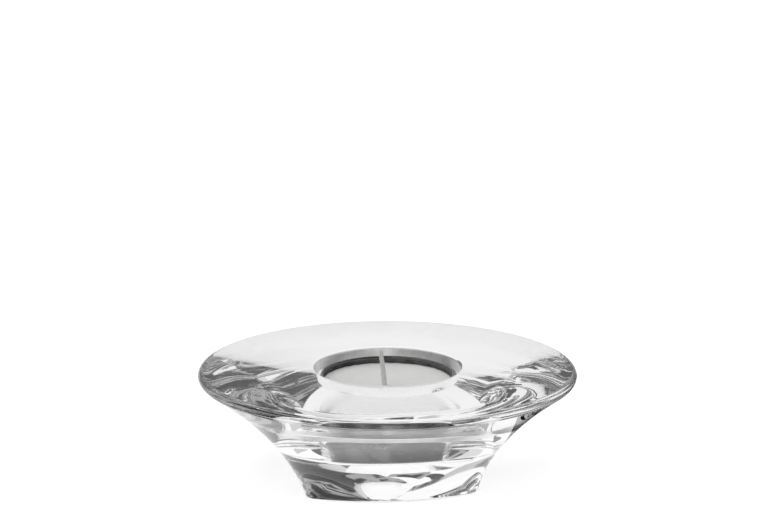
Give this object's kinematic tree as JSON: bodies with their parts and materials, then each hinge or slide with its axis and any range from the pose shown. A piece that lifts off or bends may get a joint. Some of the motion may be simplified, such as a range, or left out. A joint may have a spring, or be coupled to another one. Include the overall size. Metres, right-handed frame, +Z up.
{
  "type": "votive candle holder",
  "caption": "Clear crystal block with a three-sided foot that flares to a round flat rim, holding a tealight in a round pocket.",
  "frame": {"origin": "centre of the foot, on the surface that the holder stands on", "axes": "+Z up along the pocket's axis; -Y towards the middle of one of the foot's three sides, so one corner points along +Y"},
  "size_m": [0.109, 0.109, 0.0395],
  "materials": {
    "crystal": "clear, polished",
    "cup_aluminium": "thin pressed sheet, satin",
    "wax": "white paraffin wax, satin",
    "sustainer_tin": "tinned sheet",
    "wick_cotton": "waxed cotton"
  },
  "bodies": {
    "holder": {"crystal_body": "crystal"},
    "tealight": {"tealight_cup": "cup_aluminium", "wax": "wax", "wick_sustainer": "sustainer_tin", "wick": "wick_cotton"}
  },
  "joints": [
    {"name": "tealight_lift", "type": "slide", "parent": "holder", "child": "tealight", "axis": [0, 0, 1], "range_m": [0, 0.03]}
  ]
}
